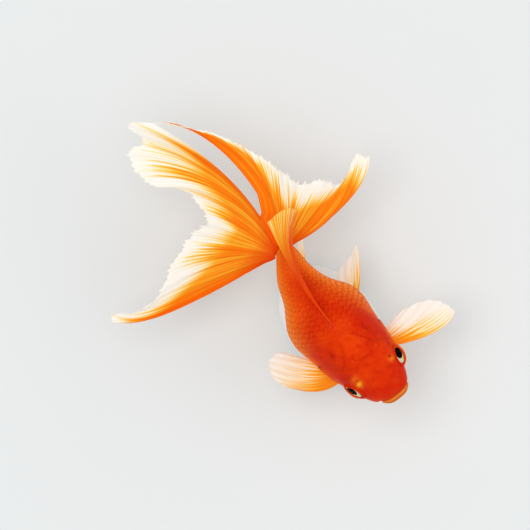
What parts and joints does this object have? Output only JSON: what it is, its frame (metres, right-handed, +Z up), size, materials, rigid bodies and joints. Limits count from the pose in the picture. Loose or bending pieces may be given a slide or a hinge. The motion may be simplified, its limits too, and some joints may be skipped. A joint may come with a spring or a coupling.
{
  "type": "fantail goldfish model",
  "caption": "Life-size still model of an orange fantail goldfish swimming with its double tail spread, held up by a rod on an oval display base.",
  "frame": {"origin": "centre of the stand base's underside, under the rod", "axes": "+Z up; the fish's head points along -Y and its left side is towards +X"},
  "size_m": [0.1416, 0.1777, 0.1057],
  "materials": {
    "flesh": "wet-looking scaled skin, deep orange-red on the back and lighter orange on the flanks",
    "fins": "thin see-through fin web with raised rays, orange at the root and cream at the margin",
    "eyes": "polished, black pupil in a pale gold ring",
    "stand_enamel": "satin white enamel on steel",
    "stand_steel": "brushed"
  },
  "bodies": {
    "root": {"head": "flesh", "lower_jaw": "flesh", "gill_cover_left": "flesh", "gill_cover_right": "flesh", "trunk": "flesh", "tail_stalk": "flesh", "dorsal_fin": "fins", "pectoral_fin_left": "fins", "pectoral_fin_right": "fins", "pelvic_fin_left": "fins", "pelvic_fin_right": "fins", "anal_fin_left": "fins", "anal_fin_right": "fins", "tail_fin_upper_left": "fins", "tail_fin_lower_left": "fins", "tail_fin_upper_right": "fins", "tail_fin_lower_right": "fins", "eye_left": "eyes", "eye_right": "eyes", "stand_base": "stand_enamel", "stand_rod": "stand_steel", "stand_collar": "stand_steel"}
  },
  "joints": []
}
